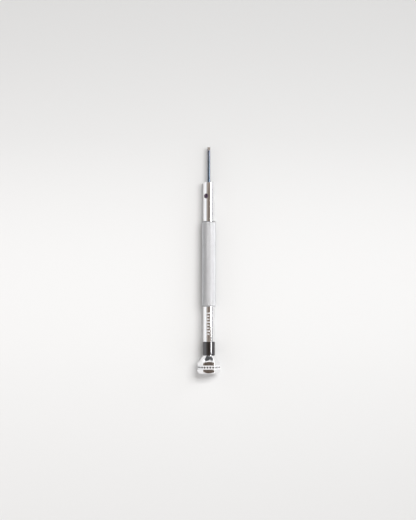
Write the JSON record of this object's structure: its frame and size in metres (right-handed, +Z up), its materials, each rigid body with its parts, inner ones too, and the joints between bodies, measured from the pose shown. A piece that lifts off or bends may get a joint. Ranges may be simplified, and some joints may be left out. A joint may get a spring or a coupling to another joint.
{
  "type": "watchmaker's screwdriver",
  "caption": "Slim watchmaker's screwdriver with a knurled grip, a colour-coded size ring, a changeable slotted blade held by a grub screw and a swivelling hexagonal head on a ball bearing.",
  "frame": {"origin": "under the middle of the tool's length, on the surface that the hexagonal head lies on, straight below the tool's axis", "axes": "+X along the tool towards the blade's tip, +Z up out of the surface, the head lying on one of its six flats"},
  "size_m": [0.08, 0.008, 0.007],
  "materials": {
    "polished_body": "polished",
    "polished_head": "polished",
    "blued_steel": "polished",
    "screw_steel": "satin",
    "black_anodised": "gloss",
    "spacer_steel": "satin",
    "bearing_steel": "satin",
    "ball_steel": "polished",
    "cage_nylon": "matte"
  },
  "bodies": {
    "handle": {"handle_body": "polished_body", "size_ring": "black_anodised", "spacer": "spacer_steel", "axle_screw": "screw_steel", "bearing_inner_ring": "bearing_steel"},
    "blade": {"blade": "blued_steel"},
    "blade_screw": {"blade_screw": "screw_steel"},
    "head": {"swivel_head": "polished_head", "finger_cap": "polished_head", "bearing_outer_ring": "bearing_steel", "front_shield": "bearing_steel", "rear_shield": "bearing_steel"},
    "cage": {"ball_cage": "cage_nylon"},
    "ball_1": {"ball_1": "ball_steel"},
    "ball_2": {"ball_2": "ball_steel"},
    "ball_3": {"ball_3": "ball_steel"},
    "ball_4": {"ball_4": "ball_steel"},
    "ball_5": {"ball_5": "ball_steel"},
    "ball_6": {"ball_6": "ball_steel"},
    "ball_7": {"ball_7": "ball_steel"}
  },
  "joints": [
    {"name": "head_spin", "type": "hinge", "parent": "handle", "child": "head", "pos_m": [-0.0372, 0, 0.0035], "axis": [1, 0, 0], "continuous": true},
    {"name": "cage_spin", "type": "hinge", "parent": "handle", "child": "cage", "pos_m": [-0.0372, 0, 0.0035], "axis": [1, 0, 0], "continuous": true},
    {"name": "ball_1_spin", "type": "hinge", "parent": "cage", "child": "ball_1", "pos_m": [-0.0372, 0, 0.00175], "axis": [1, 0, 0], "continuous": true},
    {"name": "ball_2_spin", "type": "hinge", "parent": "cage", "child": "ball_2", "pos_m": [-0.0372, 0.00137, 0.00241], "axis": [1, 0, 0], "continuous": true},
    {"name": "ball_3_spin", "type": "hinge", "parent": "cage", "child": "ball_3", "pos_m": [-0.0372, 0.00171, 0.00389], "axis": [1, 0, 0], "continuous": true},
    {"name": "ball_4_spin", "type": "hinge", "parent": "cage", "child": "ball_4", "pos_m": [-0.0372, 0.00076, 0.00508], "axis": [1, 0, 0], "continuous": true},
    {"name": "ball_5_spin", "type": "hinge", "parent": "cage", "child": "ball_5", "pos_m": [-0.0372, -0.00076, 0.00508], "axis": [1, 0, 0], "continuous": true},
    {"name": "ball_6_spin", "type": "hinge", "parent": "cage", "child": "ball_6", "pos_m": [-0.0372, -0.00171, 0.00389], "axis": [1, 0, 0], "continuous": true},
    {"name": "ball_7_spin", "type": "hinge", "parent": "cage", "child": "ball_7", "pos_m": [-0.0372, -0.00137, 0.00241], "axis": [1, 0, 0], "continuous": true},
    {"name": "blade_slide", "type": "slide", "parent": "handle", "child": "blade", "axis": [1, 0, 0], "range_m": [0, 0.0084]},
    {"name": "blade_screw_turn", "type": "hinge", "parent": "handle", "child": "blade_screw", "pos_m": [0.0227, 0.0006, 0.00442], "axis": [0, 0.5446, 0.8387], "range_deg": [0, 360]}
  ],
  "couplings": [
    {"joint": "cage_spin", "follows": "head_spin", "ratio": 0.61429},
    {"joint": "ball_1_spin", "follows": "head_spin", "ratio": 2.0732},
    {"joint": "ball_2_spin", "follows": "head_spin", "ratio": 2.0732},
    {"joint": "ball_3_spin", "follows": "head_spin", "ratio": 2.0732},
    {"joint": "ball_4_spin", "follows": "head_spin", "ratio": 2.0732},
    {"joint": "ball_5_spin", "follows": "head_spin", "ratio": 2.0732},
    {"joint": "ball_6_spin", "follows": "head_spin", "ratio": 2.0732},
    {"joint": "ball_7_spin", "follows": "head_spin", "ratio": 2.0732}
  ]
}
